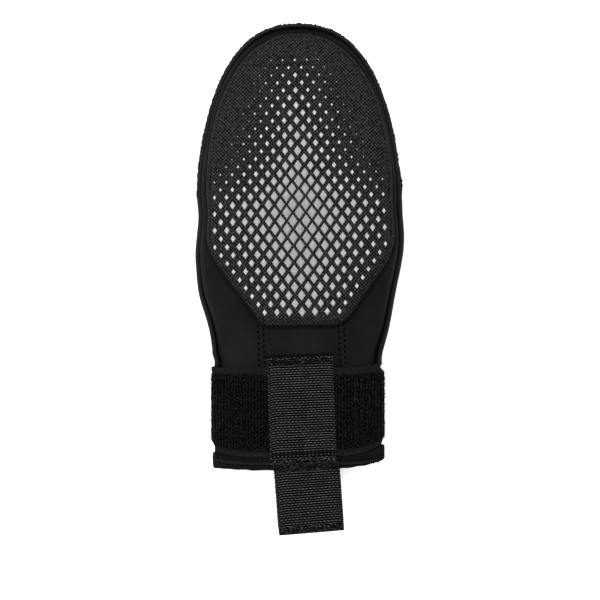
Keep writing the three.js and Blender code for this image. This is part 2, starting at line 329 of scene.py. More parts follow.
seam_edge = soft_copy("seam_binding", "seam_edge", 2, 0.8)
seam_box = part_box("seam_binding")
seam_middle = (seam_box[0] + seam_box[1]) / 2
fingers_start = 40 * mm
tuck = 1.2 * mm
places, normals = points_of(seam_edge)
to_middle = np.array([seam_middle.x, seam_middle.y])[None, :] - places[:, :2]
to_middle[:, 1] *= places[:, 1] > fingers_start
to_middle /= np.linalg.norm(to_middle, axis=1)[:, None]
facing_in = np.clip((to_middle * normals[:, :2]).sum(axis=1) * 2, 0, 1)
move_points(seam_edge, facing_in * tuck)

# It is drawn in towards the strap, bulges a little on the left, and swells on the right where the
# overlock ends. The back panel goes in with it.
overlock_step = {"start": -46 * mm, "length": 4 * mm}
right_waist = {"start": 39 * mm, "length": 9 * mm}
left_waist = {"start": 45.5 * mm, "length": 4 * mm}
panel_side = {"start": 40 * mm, "length": 5 * mm}
swelling = {"middle": 53 * mm, "width": 8 * mm}
bulge = {"middle": -15 * mm, "width": 10 * mm}
places, normals = points_of(seam_edge)
on_right = places[:, 0] > 0
facing_right = np.clip(normals[:, 0] * 2 + 0.5, 0, 1)
places[:, 0] += 0.55 * mm * on_right * rise(-places[:, 1], **overlock_step)
places[:, 0] -= 0.75 * mm * on_right * rise(-places[:, 1], **right_waist)
places[:, 0] -= 0.45 * mm * ~on_right * ridge(places[:, 1], **bulge)
places[:, 0] += 1.4 * mm * ~on_right * rise(-places[:, 1], **left_waist)
places[:, 0] += 0.8 * mm * ridge(places[:, 1], **swelling) * on_right * facing_right
set_places(seam_edge, places)
places, _ = points_of(mitten_back)
right_side = rise(places[:, 0], **panel_side)
left_side = rise(-places[:, 0], **panel_side)
places[:, 0] -= 0.7 * mm * rise(-places[:, 1], **right_waist) * right_side
places[:, 0] += 1.4 * mm * rise(-places[:, 1], **left_waist) * left_side
set_places(mitten_back, places)
seam_edge.data.materials.append(neoprene)


def tree_of(obj):
    """A search tree of an object's faces, to find where a line meets them."""
    return BVHTree.FromPolygons(
        [v.co for v in obj.data.vertices], [list(p.vertices) for p in obj.data.polygons]
    )


def evenly(points, spacing, closed=False):
    """Points at equal distances along a line through points, and the ways the line runs there."""
    line = np.array([list(p) for p in points])
    if closed:
        line = np.vstack([line, line[:1]])
    along = np.concatenate([[0], np.cumsum(np.linalg.norm(np.diff(line, axis=0), axis=1))])
    count = max(round(along[-1] / spacing), 1)
    stations = np.linspace(0, along[-1], count + 1)[: count if closed else count + 1]

    def at(distances):
        return np.stack([np.interp(distances, along, line[:, i]) for i in range(line.shape[1])], axis=1)

    ways = at(np.minimum(stations + spacing / 2, along[-1])) - at(np.maximum(stations - spacing / 2, 0))
    return at(stations), ways / np.linalg.norm(ways, axis=1)[:, None]


def lay_copies(model, name, matrices):
    """Lays a copy of a small model at each matrix, all in one new mesh, and removes the model."""
    corners = np.array([list(v.co) + [1] for v in model.data.vertices])
    faces = [list(p.vertices) for p in model.data.polygons]
    laid = np.concatenate([corners @ np.array(m).T for m in matrices])[:, :3]
    mesh = bpy.data.meshes.new(name)
    mesh.from_pydata(
        laid.tolist(),
        [],
        [[c + i * len(corners) for c in face] for i in range(len(matrices)) for face in faces],
    )
    bpy.data.objects.remove(model)
    piece = bpy.data.objects.new(name, mesh)
    bpy.context.collection.objects.link(piece)
    select_only(piece)
    bpy.ops.object.shade_smooth()
    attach(piece, "root")
    return piece


def axes_at(place, x_way, y_way, z_way):
    """A matrix that lays a model's axes along three ways at a place."""
    matrix = Matrix.Identity(4)
    for i, part in enumerate((x_way, y_way, z_way, place)):
        for j in range(3):
            matrix[j][i] = part[j]
    return matrix


# The rim's place is found by looking in from outside at the seam, level with it.
seam_places, _ = points_of(seam_edge)
seam_tree = tree_of(seam_edge)
rim_start = seam_places[:, 1].min() + 2.5 * mm
dome_length = 101 * mm
dome_middle = seam_box[1].y - dome_length
far = 150 * mm


def rim_point(way, y):
    """Where the seam is met on the way in from far outside, at its own height there."""
    reached = y
    for _ in range(3):
        nearness = ridge(seam_places[:, 1], reached, 6 * mm)
        height = (nearness * seam_places[:, 2]).sum() / nearness.sum()
        hit = seam_tree.ray_cast(Vector((seam_middle.x, y, height)) + way * far, -way)[0]
        reached = hit.y
    return hit


straight = np.linspace(rim_start, dome_middle, 90)
turns = np.linspace(math.pi, 0, 160)[1:-1]
rim = [rim_point(Vector((-1, 0, 0)), y) for y in straight]
rim += [rim_point(Vector((math.cos(a), math.sin(a), 0)), dome_middle) for a in turns]
rim += [rim_point(Vector((1, 0, 0)), y) for y in straight[::-1]]

# Beside the wrist the seam pulls a furrow into the back panel, 3 mm inside the outline.
overlock_start = {"left": 46 * mm, "right": 49.5 * mm}
furrow_start = {"start": -20 * mm, "length": 12 * mm}
furrow_inset = 3.0 * mm
past_end = Vector((0, -8 * mm, 0))
rim_line, _ = evenly([rim[0] + past_end] + rim + [rim[-1] + past_end], 0.5 * mm)
rim_finder = KDTree(len(rim_line))
for i, point in enumerate(rim_line):
    rim_finder.insert((point[0], point[1], 0), i)
rim_finder.balance()


def from_rim(places):
    """How far points lie inside the rim in plan, and the rim's height there."""
    nearest = [rim_finder.find((x, y, 0)) for x, y, _ in places]
    return np.array([n[2] for n in nearest]), rim_line[[n[1] for n in nearest], 2]


# The seam's upper side slopes up from its rim, and the panel's edge lies lower just inside it.
seam_slope = 1.7
shoulder_depth = 1.0 * mm
furrow_depth = 0.15 * mm
places, _ = points_of(seam_edge)
inset, rim_height = from_rim(places)
above_rim = rise(places[:, 2], rim_height, 0.8 * mm)
places[:, 2] += seam_slope * np.clip(inset - 0.4 * mm, 0, 2.4 * mm) * above_rim
set_places(seam_edge, places)
# The seam is painted in shade beside the wrist and along its outermost edge.
beside_wrist = rise(-places[:, 1], **furrow_start)
shade_points(seam_edge, "painted_shade", np.maximum(0.4 * beside_wrist, 0.9 * ridge(inset, 0, 0.9 * mm)))

places, normals = points_of(mitten_back)
inset, _ = from_rim(places)
outside = normals[:, 2] > 0
places[:, 2] -= shoulder_depth * ridge(inset, 3.3 * mm, 1.6 * mm) * outside
set_places(mitten_back, places)
# The furrow is sunk into the panel and painted in shade by one mask, and a band just outside the pad's
# edge is painted in shade too.
painted_shade = ridge(inset, furrow_inset, 0.8 * mm) * np.where(places[:, 0] < 0, 1.0, 0.4)
painted_shade *= rise(-places[:, 1], **furrow_start) * outside
move_points(mitten_back, -furrow_depth * painted_shade)
by_pad = 0.35 * ridge(beyond_pad(places), 0.5 * mm, 1.3 * mm) * outside
shade_points(mitten_back, "painted_shade", np.maximum(painted_shade * 0.35, by_pad))

wrap_pitch = 1.3 * mm
wrap_thickness = 0.8 * mm
wrap_width = 1.1 * mm
wrap_height = 3.5 * mm
wrap_reach = (0.15 * mm, 0.8 * mm)
wrap_slant = 0.3
bpy.ops.object.select_all(action="DESELECT")
bpy.ops.mesh.primitive_torus_add(
    major_segments=12,
    minor_segments=5,
    major_radius=wrap_height / 2,
    minor_radius=wrap_thickness / 2,
)
wrap = bpy.context.object
bpy.ops.object.mode_set(mode="EDIT")
bpy.ops.mesh.select_all(action="SELECT")
bpy.ops.transform.resize(value=(wrap_width / wrap_height, 1, 1))
bpy.ops.object.mode_set(mode="OBJECT")
rim_stops, rim_ways = evenly(rim, wrap_pitch)
random = np.random.default_rng(5)
wrap_matrices = []
for stop, way in zip(rim_stops, rim_ways):
    if stop[1] < overlock_start["left" if stop[0] < 0 else "right"]:
        continue
    sideways = np.array([-way[1], way[0], 0])
    inwards = (wrap_width + wrap_thickness) / 2 - random.uniform(*wrap_reach)
    inwards -= 0.2 * mm * ridge(stop[1], **swelling) * (stop[0] > 0)
    middle = stop - sideways * inwards
    slanted = np.array([0, 0, 1]) + way * wrap_slant
    wrap_matrices.append(axes_at(middle, sideways, slanted, way))
overlock = lay_copies(wrap, "overlock_thread", wrap_matrices)
overlock.data.materials.append(thread_black)


# Two rows of zigzag run from the pad down to the strap. They are sewn with black polyester thread
# through the neoprene, which each stitch draws down.

# Thread on the flat of the mitt is painted a little greyer than at the rim, as a painted highlight.
thread_painted_lighter = thread_black.copy()
thread_painted_lighter.name = "Spun polyester thread painted lighter as highlight"
thread_painted_lighter.node_tree.nodes["Principled BSDF"].inputs["Base Color"].default_value = tone("#1e1e1e")
stitch_thickness = 0.85 * mm


def unit_ball(segments, rings):
    """A ball a unit wide, with its poles along X."""
    bpy.ops.object.select_all(action="DESELECT")
    along_x = (0, math.pi / 2, 0)
    bpy.ops.mesh.primitive_uv_sphere_add(
        segments=segments, ring_count=rings, radius=0.5, rotation=along_x
    )
    bpy.ops.object.transform_apply(location=False, rotation=True, scale=False)
    return bpy.context.object


def stitch_model(thickness):
    """One sewn stitch along X, a unit long: plump in the middle, with its ends drawn down."""
    model = unit_ball(6, 7)
    for v in model.data.vertices:
        drawn_down = (2 * abs(v.co.x)) ** 3 * 0.9
        v.co.y *= thickness
        v.co.z = (v.co.z + 0.15 - drawn_down) * thickness
    return model


def stitch_axes(a, b):
    """A stitch's middle between two needle holes, its way, the way across it and the way up."""
    way = Vector(b) - Vector(a)
    across = Vector((0, 0, 1)).cross(way).normalized()
    return (Vector(a) + Vector(b)) / 2, way, across, way.cross(across).normalized()


def sew(name, ends, thread_kind, thickness=stitch_thickness):
    """Thread laid as a stitch between each pair of needle holes."""
    matrices = [axes_at(*stitch_axes(a, b)) for a, b in ends]
    thread = lay_copies(stitch_model(thickness), name, matrices)
    thread.data.materials.append(thread_kind)


def on_top(surface, x, y, above=0.0):
    """The point of a surface seen from straight above a place in plan, raised a little."""
    hit = surface.ray_cast(Vector((x, y, 0.1)), Vector((0, 0, -1)))[0]
    return None if hit is None else Vector((hit.x, hit.y, hit.z + above))


# Each stitch is pulled down into the foam between its two needle holes. Under each stitch and at
# each hole lies a dark flattened ball, as painted shadow.
needle_shadow, tree, shader = new_material(
    "Painted shadow under stitches and at needle holes", Base_Color=tone("#040404"), Roughness=1.0, Specular_IOR_Level=0.0
)


def stitch_shadows(name, ends, width):
    """A painted shadow under each stitch, a little longer than it."""
    matrices = []
    for a, b in ends:
        middle, way, across, up = stitch_axes(a, b)
        reach = way.normalized() * (way.length + 0.9 * mm)
        matrices.append(axes_at(middle, reach, across * width, up * 0.3 * mm))
    under_stitch_shadows = lay_copies(unit_ball(8, 5), name, matrices)
    under_stitch_shadows.data.materials.append(needle_shadow)


def needle_hole_shadows(name, corners, width, length):
    """A painted shadow at each needle hole, drawn as wide as it needs to show."""
    bpy.ops.object.select_all(action="DESELECT")
    bpy.ops.mesh.primitive_uv_sphere_add(segments=8, ring_count=5, radius=0.5)
    shape = ((width, 0, 0), (0, length, 0), (0, 0, 0.5 * mm))
    raised = Vector((0, 0, 0.08 * mm))
    hole_shadows = lay_copies(bpy.context.object, name, [axes_at(c + raised, *shape) for c in corners])
    hole_shadows.data.materials.append(needle_shadow)


zigzag_width = 2.8 * mm
zigzag_pitch = 3.2 * mm
back_tree = tree_of(mitten_back)
zigzag_ends = []
zigzag_corners = []
for top_x, bottom_x in seam_lines.values():
    heights = np.arange(strap_high + 0.6 * mm, pad_low + 2 * mm, zigzag_pitch / 2)
    corners = []
    for i, y in enumerate(heights):
        share = (y - strap_high) / (pad_low - strap_high)
        x = bottom_x + (top_x - bottom_x) * share + (0.5 if i % 2 else -0.5) * zigzag_width
        corners.append(on_top(back_tree, x, y))
    zigzag_ends += list(zip(corners, corners[1:]))
    zigzag_corners += corners
sew("seam_zigzag", zigzag_ends, thread_painted_lighter)
stitch_shadows("seam_stitch_shadows", zigzag_ends, 1.3 * mm)
needle_hole_shadows("seam_needle_hole_shadows", zigzag_corners, 2.1 * mm, 1.4 * mm)


# The pad on the back of the hand is stiff foam under a woven nylon cloth of thick yarn, turned in
# at its edge and topstitched through the mitten all the way round.

# Each crossing of the thick yarns catches the light as a small dot, 1.45 mm from the next. On the
# pad's steep sides the yarns are read from the side.
woven_nylon, tree, shader = new_material(
    "Ballistic nylon basket weave", Roughness=0.7, Specular_IOR_Level=0.035
)
yarn_pitch = 2.05 * mm
place = add_node(tree, "TexCoord")
yarn_turns = add_node(
    tree,
    "Mapping",
    {"Rotation": (0, 0, math.radians(1.5)), "Scale": [2 * math.pi / yarn_pitch] * 3},
    {"Vector": place.outputs["Object"]},
)
axes = add_node(tree, "SeparateXYZ", {}, {0: yarn_turns})
across = add_node(tree, "Math", {"operation": "COSINE"}, {0: axes.outputs["X"]})
along = add_node(tree, "Math", {"operation": "COSINE"}, {0: axes.outputs["Y"]})
crossing = add_node(tree, "Math", {"operation": "MULTIPLY"}, {0: across, 1: along})
down = add_node(tree, "Math", {"operation": "COSINE"}, {0: axes.outputs["Z"]})
side_turn = add_node(tree, "Math", {"operation": "ADD"}, {0: axes.outputs["X"], 1: axes.outputs["Y"]})
sideways = add_node(tree, "Math", {"operation": "COSINE"}, {0: side_turn})
side_crossing = add_node(tree, "Math", {"operation": "MULTIPLY"}, {0: sideways, 1: down})
surface = add_node(tree, "NewGeometry")
facing = add_node(tree, "SeparateXYZ", {}, {0: surface.outputs["Normal"]})
flatness = add_node(
    tree, "MapRange", {"From Min": 0.45, "From Max": 0.75}, {"Value": facing.outputs["Z"]}
)
woven = add_node(
    tree, "Mix", {"data_type": "FLOAT"}, {"Factor": flatness, 2: side_crossing, 3: crossing}
)
fuzz = add_node(
    tree, "TexNoise", {"Scale": 1 / (1.1 * mm), "Detail": 3}, {"Vector": place.outputs["Object"]}
)
yarns = add_node(tree, "Math", {"operation": "MULTIPLY_ADD", 1: 0.2}, {0: woven, 2: fuzz})
ramp = add_node(tree, "ValToRGB", {}, {"Fac": yarns}, [(0.38, "#030303"), (0.75, "#333333")])
# The cloth turns down into the seam at its edge and is in shade there.
turned_in = add_node(tree, "Attribute", {"attribute_name": "turned_in"})
edge_shade = add_node(
    tree,
    "Mix",
    {"data_type": "RGBA", 7: tone("#060606")},
    {"Factor": turned_in.outputs["Fac"], 6: ramp},
)
bump = add_node(tree, "Bump", {"Strength": 0.7, "Distance": 0.25 * mm}, {"Height": yarns})
tree.links.new(edge_shade.outputs[2], shader.inputs["Base Color"])
tree.links.new(bump.outputs["Normal"], shader.inputs["Normal"])

stitch_inset = 2.6 * mm
pad_cover = soft_copy("back_pad", "pad_cover", 3, 0.2)
places, normals = points_of(pad_cover)
inside = -beyond_pad(places)
facing_up = np.clip(normals[:, 2] * 3, 0, 1)
depth = -0.35 * mm * ridge(inside, stitch_inset, 0.7 * mm)
depth += 0.12 * mm * unevenness(places, 34 * mm, 11) * rise(inside, 0, 8 * mm)
move_points(pad_cover, depth * facing_up)
places, _ = points_of(pad_cover)
at_edge = ridge(inside, 0, 1.2 * mm)
move_points(pad_cover, 0.2 * mm * at_edge * unevenness(places, 2.4 * mm, 23))
shade_points(pad_cover, "turned_in", 0.7 * ridge(np.maximum(inside, 0), 0, 1.3 * mm))
pad_cover.data.materials.append(woven_nylon)

stitch_pitch = 2.4 * mm
stitch_gap = 0.5 * mm
pad_tree = tree_of(pad_cover)
stops, ways = evenly(outline_starts - outward * stitch_inset, stitch_pitch, closed=True)
half = (stitch_pitch - stitch_gap) / 2
topstitch_ends = []
for stop, way in zip(stops, ways):
    a, b = (on_top(pad_tree, *(stop + way * step)) for step in (-half, half))
    if a is not None and b is not None:
        topstitch_ends.append((a, b))
sew("pad_topstitch", topstitch_ends, thread_black, 0.5 * mm)


# The pad's cloth is screen printed with light grey diamonds on a slanted lattice, largest over the
# middle of the hand and fading out to dots towards the fingertips and the sides. Their places and
# sizes are given in the picture's pixels, and each is laid on the cloth where its pixel sees it.
first_row = 60.0
upper_rows = 18
upper_pitch = 7.55
lower_pitch = 8.28
column_pitch = (5.77, 6.13)
middle_column = (294.7, 302.1)
middle_gap = 0.6
row_slope = 0.021
widest_column = [4, 5, 6, 7, 6, 7, 8, 9, 8, 9, 10, 11, 10, 11, 12, 13, 14, 13, 14, 13, 14, 13, 14, 13]
widest_column += [14, 13, 12, 11, 10, 9, 8, 7, 6]
middle_height = {0: 3, 2: 5.4, 4: 6.8, 8: 8.8, 12: 10.5, 16: 12.6, 20: 13.8, 26: 12.8, 32: 10.4}
edge_height = {0: 1.4, 1: 1.1, 13: 1.2, 16: 2.2, 17: 3.6, 18: 4.2, 19: 7, 20: 5.7, 21: 7, 22: 6.7}
edge_height |= {24: 5.3, 31: 5.6, 32: 6.3}
full_height = 13.4
slimness = 0.69
ink_spread = 0.1


def pixel_ray(px, py):
    """Where the camera looks at a pixel of the picture: a start and a way."""
    scale = picture_width / picture_pixels
    right, up = px - picture_pixels / 2, picture_pixels / 2 - py
    aim = picture_middle + Vector((right * scale, up * scale, 0))
    return camera.location, (aim - camera.location).normalized()


bpy.ops.object.select_all(action="DESELECT")
bpy.ops.mesh.primitive_circle_add(vertices=4, radius=0.5, fill_type="NGON")
diamond = bpy.context.object
bpy.ops.object.mode_set(mode="EDIT")
bpy.ops.mesh.select_all(action="SELECT")
bpy.ops.mesh.bevel(offset=0.03, segments=1, affect="VERTICES")
bpy.ops.mesh.poke()
bpy.ops.mesh.subdivide(number_cuts=1)
bpy.ops.object.mode_set(mode="OBJECT")
diamond_matrices = []
fineness = []
last_row = len(widest_column) - 1
for row, widest in enumerate(widest_column):
    row_py = first_row + upper_pitch * min(row, upper_rows) + lower_pitch * max(row - upper_rows, 0)
    share = row / last_row
    pitch = column_pitch[0] + (column_pitch[1] - column_pitch[0]) * share
    middle = middle_column[0] + (middle_column[1] - middle_column[0]) * share
    tallest = np.interp(row, list(middle_height), list(middle_height.values()))
    lowest = np.interp(row, list(edge_height), list(edge_height.values()))
    evening = 0.9 if row < upper_rows else 1.1
    for column in range(-widest, widest + 1, 2):
        offset = column * pitch + math.copysign(middle_gap, column) * (column != 0)
        height = tallest - (tallest - lowest) * (abs(column) / widest) ** evening
        width = slimness * height + ink_spread
        start, way = pixel_ray(middle + offset, row_py - row_slope * offset)
        spot, facing, _, distance = pad_tree.ray_cast(start, way)
        if spot is None:
            continue
        facing = facing if facing.z > 0 else -facing
        pixel = picture_width / picture_pixels * distance / view_distance
        x_way = Vector((1, row_slope, 0))
        x_way = (x_way - facing * x_way.dot(facing)).normalized()
        y_way = facing.cross(x_way)
        fineness += [1 - height / full_height] * len(diamond.data.vertices)
        diamond_matrices.append(
            axes_at(spot + facing * 0.1 * mm, x_way * width * pixel, y_way * height * pixel, facing)
        )
diamonds = lay_copies(diamond, "printed_diamonds", diamond_matrices)
shade_points(diamonds, "fineness", fineness)
drape = diamonds.modifiers.new("drape", "SHRINKWRAP")
drape.target = pad_cover
drape.wrap_method = "PROJECT"
drape.use_project_z = True
drape.use_negative_direction = True
drape.use_positive_direction = True
drape.offset = 0.03 * mm
bpy.ops.object.modifier_apply(modifier=drape.name)
ink = diamonds.modifiers.new("ink", "SOLIDIFY")
ink.thickness = 0.1 * mm
ink.offset = 1
bpy.ops.object.modifier_apply(modifier=ink.name)

# Ink lies on the tops of the yarns, so the weave shows through it as a fine mottle. It lies
# thicker and whiter on the small dots.
screen_print, tree, shader = new_material(
    "Screen print ink on woven nylon", Roughness=0.65, Specular_IOR_Level=0.25
)
place = add_node(tree, "TexCoord")
mottle = add_node(
    tree, "TexNoise", {"Scale": 1 / (0.9 * mm), "Detail": 3}, {"Vector": place.outputs["Object"]}
)
fine = add_node(tree, "Attribute", {"attribute_name": "fineness"})
cover = add_node(
    tree, "Math", {"operation": "MULTIPLY_ADD", 1: 0.7}, {0: fine.outputs["Fac"], 2: mottle}
)
ink_greys = [(0.3, "#6a6a6a"), (1.0, "#b2b2b2"), (0.82, "#949494")]
ramp = add_node(tree, "ValToRGB", {}, {"Fac": cover}, ink_greys)
bump = add_node(tree, "Bump", {"Strength": 0.3, "Distance": 0.1 * mm}, {"Height": mottle})
tree.links.new(ramp.outputs["Color"], shader.inputs["Base Color"])
tree.links.new(bump.outputs["Normal"], shader.inputs["Normal"])
diamonds.data.materials.append(screen_print)


# The hem is the cuff's raw edge of neoprene, turned in and sewn down all round with one row of
# zigzag. The strap lies against it, and is pushed up with it towards the cuff's sides.
hem = soft_copy("cuff_hem", "hem", 3, 0.6)
places, _ = points_of(hem)
move_points(hem, 0.28 * mm * unevenness(places, 9 * mm, 17))


def corner_lift(x):
    """How much higher the strap's low edge and the hem under it lie towards the cuff's sides."""
    return 2.1 * mm * np.clip((-x - 24 * mm) / (26 * mm), 0, 1.1) ** 2 + (
        2.7 * mm * np.clip((x - 30 * mm) / (17 * mm), 0, 1.1) ** 1.5
    )


hem_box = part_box("cuff_hem")
places, _ = points_of(hem)
upper_share = rise(places[:, 1], hem_box[0].y, hem_box[1].y - hem_box[0].y)
lifted = corner_lift(places[:, 0]) * upper_share
places[:, 0] += 2.2 * mm * rise(places[:, 0], 30 * mm, 17 * mm) ** 2
places[:, 0] -= 0.6 * mm * rise(-places[:, 0], 36 * mm, 12 * mm)
places[:, 1] += lifted
set_places(hem, places)

# Its row of stitching draws the fold down in a crease.
hem_row = (hem_box[0].y + hem_box[1].y) / 2
crease = ridge(places[:, 1], hem_row + 0.5 * corner_lift(places[:, 0]) + 1.5 * mm, 0.4 * mm)
move_points(hem, -0.35 * mm * crease)
# The hem is painted in uneven shade, darkest along its crease.
in_shade = 0.36 + 0.14 * unevenness(places, 4 * mm, 31) + 0.5 * crease
shade_points(hem, "painted_shade", np.clip(in_shade, 0, 1))
hem.data.materials.append(neoprene)

hem_zigzag_width = 2.6 * mm
hem_zigzag_step = 1.3 * mm
hem_tree = tree_of(hem)
hem_ends = []
hem_corners = []
for side in (1, -1):
    corners = []
    for i, x in enumerate(np.arange(hem_box[0].x + 2 * mm, hem_box[1].x - 2 * mm, hem_zigzag_step)):
        y = hem_row - 1.1 * mm + 0.5 * corner_lift(x) + (0.5 if i % 2 else -0.5) * hem_zigzag_width
        hit = hem_tree.ray_cast(Vector((x, y, 0.1 * side)), Vector((0, 0, -side)))[0]
        if hit is not None:
            corners.append(hit)
    hem_ends += list(zip(corners, corners[1:]))
    hem_corners += corners
sew("hem_zigzag", hem_ends, thread_painted_lighter, 0.8 * mm)
stitch_shadows("hem_stitch_shadows", hem_ends, 1.0 * mm)
needle_hole_shadows("hem_needle_hole_shadows", hem_corners, 1.1 * mm, 1.1 * mm)


# The wrist strap is a woven elastic band with a brushed loop pile on its outside and smooth
# selvages, wrapped once round the cuff and closed under the palm.

# The pile swallows light: it is almost black, with a few fibres catching it.
loop_pile, tree, shader = new_material(
    "Brushed nylon loop pile", Roughness=0.9, Specular_IOR_Level=0.015
)
place = add_node(tree, "TexCoord")
tufts = add_node(
    tree, "TexNoise", {"Scale": 1 / (0.9 * mm), "Detail": 4}, {"Vector": place.outputs["Object"]}
)
ramp = add_node(tree, "ValToRGB", {}, {"Fac": tufts}, [(0.4, "#010101"), (0.75, "#080808")])
piled = add_node(tree, "Attribute", {"attribute_name": "pile"})
bare = add_node(tree, "ValToRGB", {}, {"Fac": tufts}, [(0.35, "#090909"), (0.65, "#1c1c1c")])
coat = add_node(
    tree, "Mix", {"data_type": "RGBA"}, {"Factor": piled.outputs["Fac"], 6: bare, 7: ramp}
)
pile_height = add_node(tree, "Math", {"operation": "MULTIPLY"}, {0: tufts, 1: piled.outputs["Fac"]})
bump = add_node(tree, "Bump", {"Strength": 1.0, "Distance": 0.5 * mm}, {"Height": pile_height})
tree.links.new(coat.outputs[2], shader.inputs["Base Color"])
tree.links.new(bump.outputs["Normal"], shader.inputs["Normal"])

strap_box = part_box("wrist_strap")
strap_middle = (strap_box[0] + strap_box[1]) / 2
strap_places, _ = points_of(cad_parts["wrist_strap"])
strap_places = strap_places[np.argsort(strap_places[:, 0])]
low_side = strap_places[strap_places[:, 1] < strap_middle.y - 20 * mm]
high_side = strap_places[strap_places[:, 1] > strap_middle.y + 20 * mm]
selvage = 3.6 * mm


def from_selvage(places):
    """How far points lie inside the strap's nearer edge."""
    low = np.interp(places[:, 0], low_side[:, 0], low_side[:, 1])
    low = low + corner_lift(places[:, 0])
    high = np.interp(places[:, 0], high_side[:, 0], high_side[:, 1])
    return np.minimum(places[:, 1] - low, high - places[:, 1])


cut_heights = (2.4, 3.2, 4, 5, 8, 13, 18, 23, 28, 33, 38, 43, 46, 47, 47.8, 48.6)
cuts = [strap_box[0].y + step * mm for step in cut_heights]
strap = soft_copy("wrist_strap", "strap", 2, 0.7, cuts)
places, _ = points_of(strap)
# Its low edge follows the hem up towards the sides, and its corners are drawn in there.
places[:, 1] += corner_lift(places[:, 0]) * rise(-places[:, 1], 80 * mm, 20 * mm)
drawn_in = rise(-places[:, 1], 94 * mm, 3 * mm) * rise(np.abs(places[:, 0]), 38 * mm, 8 * mm)
places[:, 0] -= np.where(places[:, 0] > 0, 1.0 * mm, -1.3 * mm) * drawn_in
places[:, 0] += 0.8 * mm * rise(places[:, 0], 30 * mm, 15 * mm)
# Its top edge is narrower on the right and wider on the left, and lies higher on the right.
on_top_edge = rise(places[:, 1], strap_box[1].y - 4.4 * mm, 1.2 * mm)
places[:, 0] -= 1.5 * mm * on_top_edge * rise(places[:, 0], 40 * mm, 4 * mm)
places[:, 0] -= 0.6 * mm * on_top_edge * rise(-places[:, 0], 40 * mm, 4 * mm)
raised = 1.9 * mm * rise(places[:, 0], 26 * mm, 20 * mm) ** 1.5
places[:, 1] += raised * rise(places[:, 1], strap_box[1].y - 8 * mm, 5 * mm)
set_places(strap, places)
places, normals = points_of(strap)
pile = 1 / (1 + np.exp(-(from_selvage(places) - selvage) / (0.35 * mm)))
strap_axis = np.array([strap_middle.x, strap_middle.z])
outwards = ((places[:, [0, 2]] - strap_axis) * normals[:, [0, 2]]).sum(axis=1)
on_outside = (outwards > 0).astype(float)
move_points(strap, pile * on_outside * (0.6 * mm + 0.2 * mm * unevenness(places, 3 * mm, 21)))
shade_points(strap, "pile", pile * on_outside)
strap.data.materials.append(loop_pile)

# One loop of fibre is modelled. On the back the loops lie slanted in rows, one column to the left
# and the next to the right, as they are knitted, and round the sides they lie anyhow.
loop_height = 0.7 * mm
loop_length = 1.9 * mm
loop_thickness = 0.36 * mm
column_width = 1.75 * mm
row_height = 1.05 * mm
side_loops = 2200
level_enough = 0.45
bpy.ops.object.select_all(action="DESELECT")
bpy.ops.mesh.primitive_torus_add(
    major_segments=8,
    minor_segments=3,
    major_radius=loop_length / 2,
    minor_radius=loop_thickness / 2,
    rotation=(math.pi / 2, 0, 0),
)
loop = bpy.context.object
bpy.ops.object.transform_apply(location=False, rotation=True, scale=False)
bpy.ops.object.mode_set(mode="EDIT")
bpy.ops.mesh.select_all(action="SELECT")
bpy.ops.mesh.bisect(plane_co=(0, 0, 0), plane_no=(0, 0, 1), clear_inner=True)
bpy.ops.mesh.select_all(action="SELECT")
bpy.ops.transform.resize(value=(1, 1, loop_height / (loop_length / 2)))
bpy.ops.object.mode_set(mode="OBJECT")
random = np.random.default_rng(8)
loop_spots = []
strap_tree = tree_of(strap)
for column, x in enumerate(np.arange(strap_box[0].x, strap_box[1].x, column_width)):
    slant = math.radians(44 if column % 2 else -44)
    for y in np.arange(strap_box[0].y, strap_box[1].y, row_height):
        start = Vector((x, y, 0.1)) + Vector(random.normal(size=3) * 0.12 * mm)
        spot, facing, _, _ = strap_tree.ray_cast(start, Vector((0, 0, -1)))
        if spot is None or facing.z < level_enough or from_selvage(np.array([spot]))[0] < selvage:
            continue
        loop_spots.append((spot, facing, slant + random.normal() * 0.15, random.uniform(0.85, 1.1)))
faces = np.array([list(p.center) + list(p.normal) + [p.area] for p in strap.data.polygons])
outwards = ((faces[:, [0, 2]] - strap_axis) * faces[:, [3, 5]]).sum(axis=1)
chance = faces[:, 6] * (outwards > 3 * mm) * (from_selvage(faces) > selvage)
chance *= (faces[:, 5] <= level_enough) * (faces[:, 2] > 2 * mm)
for index in random.choice(len(faces), size=side_loops, p=chance / chance.sum()):
    corners = [strap.data.vertices[i].co for i in strap.data.polygons[index].vertices]
    shares = random.dirichlet(np.ones(len(corners)))
    spot = sum((corner * share for corner, share in zip(corners, shares)), Vector())
    turn = random.uniform(0, math.pi)
    loop_spots.append((spot, Vector(faces[index, 3:6]), turn, random.uniform(0.45, 0.75)))
loop_matrices = []
for spot, facing, slant, size in loop_spots:
    facing = (facing + Vector(random.normal(size=3) * 0.12)).normalized()
    level = Vector((facing.z, 0, -facing.x)).normalized()
    x_way = level * math.cos(slant) + facing.cross(level) * math.sin(slant)
    loop_matrices.append(axes_at(spot, x_way * size, facing.cross(x_way) * size, facing * size))
pile_loops = lay_copies(loop, "pile_loops", loop_matrices)
set_places(pile_loops, points_of(pile_loops)[0])

# The fibres are glossier than the pile's ground, and here and there one catches the light.
loop_fibre, tree, shader = new_material(
    "Nylon pile fibre", Roughness=0.6, Specular_IOR_Level=0.06
)
place = add_node(tree, "TexCoord")
shades = add_node(
    tree, "TexNoise", {"Scale": 1 / (1.2 * mm), "Detail": 1}, {"Vector": place.outputs["Object"]}
)
ramp = add_node(tree, "ValToRGB", {}, {"Fac": shades}, [(0.4, "#040404"), (0.7, "#2e2e2e")])
tree.links.new(ramp.outputs["Color"], shader.inputs["Base Color"])
pile_loops.data.materials.append(loop_fibre)


